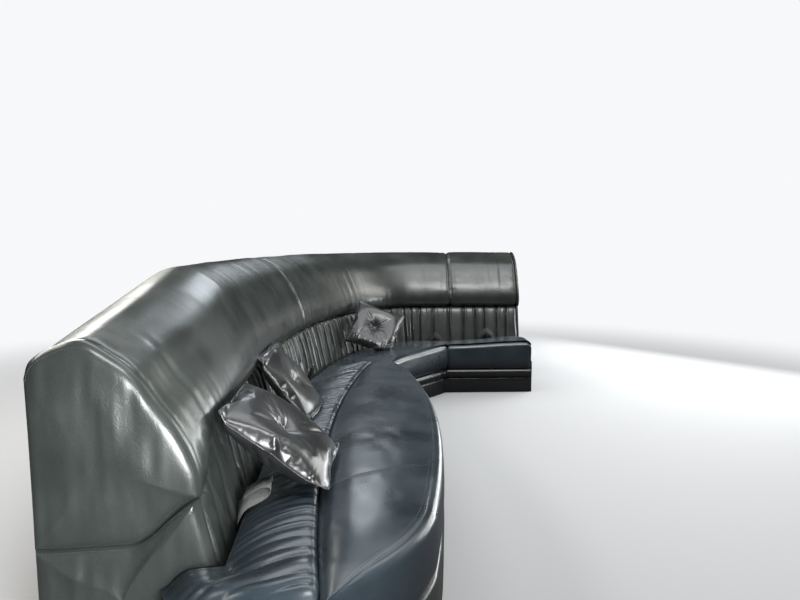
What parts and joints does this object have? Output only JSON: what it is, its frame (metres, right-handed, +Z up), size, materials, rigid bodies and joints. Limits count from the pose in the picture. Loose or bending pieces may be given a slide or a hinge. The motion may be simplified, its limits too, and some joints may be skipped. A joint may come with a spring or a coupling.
{
  "type": "limousine lounge seat",
  "caption": "Wraparound lounge seat in black leather: long side bench with a leaf-shaped front panel, curved corner and short rear bench, high roll backrest, scatter cushions.",
  "frame": {"origin": "on the floor, under the middle of the seat's overall box", "axes": "+Z up, +Y along the side bench towards the rear bench, +X from the side bench's wall towards the cabin; the vehicle's rear is at +Y"},
  "size_m": [1.5299, 2.9549, 0.772],
  "materials": {
    "seat_leather": "satin black leather with a grey sheen, lightly creased",
    "cushion_leather": "glossy thin black leather",
    "kick_vinyl": "satin black vinyl",
    "plywood": "raw birch plywood",
    "bracket_steel": "black painted steel",
    "belt_webbing": "black woven webbing",
    "belt_plastic": "black moulded plastic"
  },
  "bodies": {
    "root": {"back_board_corner": "plywood", "back_board_rear": "plywood", "back_board_side": "plywood", "band_board_corner": "plywood", "band_board_rear": "plywood", "band_board_side": "plywood", "base_rib_rear_1": "plywood", "base_rib_rear_2": "plywood", "base_rib_side_1": "plywood", "base_rib_side_2": "plywood", "base_rib_side_3": "plywood", "belt_buckle_side": "belt_plastic", "belt_strap_side": "belt_webbing", "belt_tongue_corner": "belt_webbing", "belt_tongue_rear": "belt_webbing", "deck_rear": "plywood", "deck_side": "plywood", "end_panel_near": "seat_leather", "end_panel_rear": "seat_leather", "floor_brackets_rear": "bracket_steel", "floor_brackets_side": "bracket_steel", "front_board_side": "plywood", "kick_panel_rear": "kick_vinyl", "kick_roll_rear": "kick_vinyl", "pleated_band_corner": "seat_leather", "pleated_band_rear": "seat_leather", "pleated_band_side": "seat_leather", "roll_corner": "seat_leather", "roll_rear": "seat_leather", "roll_side": "seat_leather", "scatter_cushion_far": "cushion_leather", "scatter_cushion_middle": "cushion_leather", "scatter_cushion_near": "cushion_leather", "seat_corner_cushion": "seat_leather", "seat_leaf_panel": "seat_leather", "seat_rear_cushion": "seat_leather", "seat_ruched_strip": "seat_leather", "side_skirt": "seat_leather", "wing_panel_lower": "seat_leather", "wing_panel_upper": "seat_leather"}
  },
  "joints": []
}
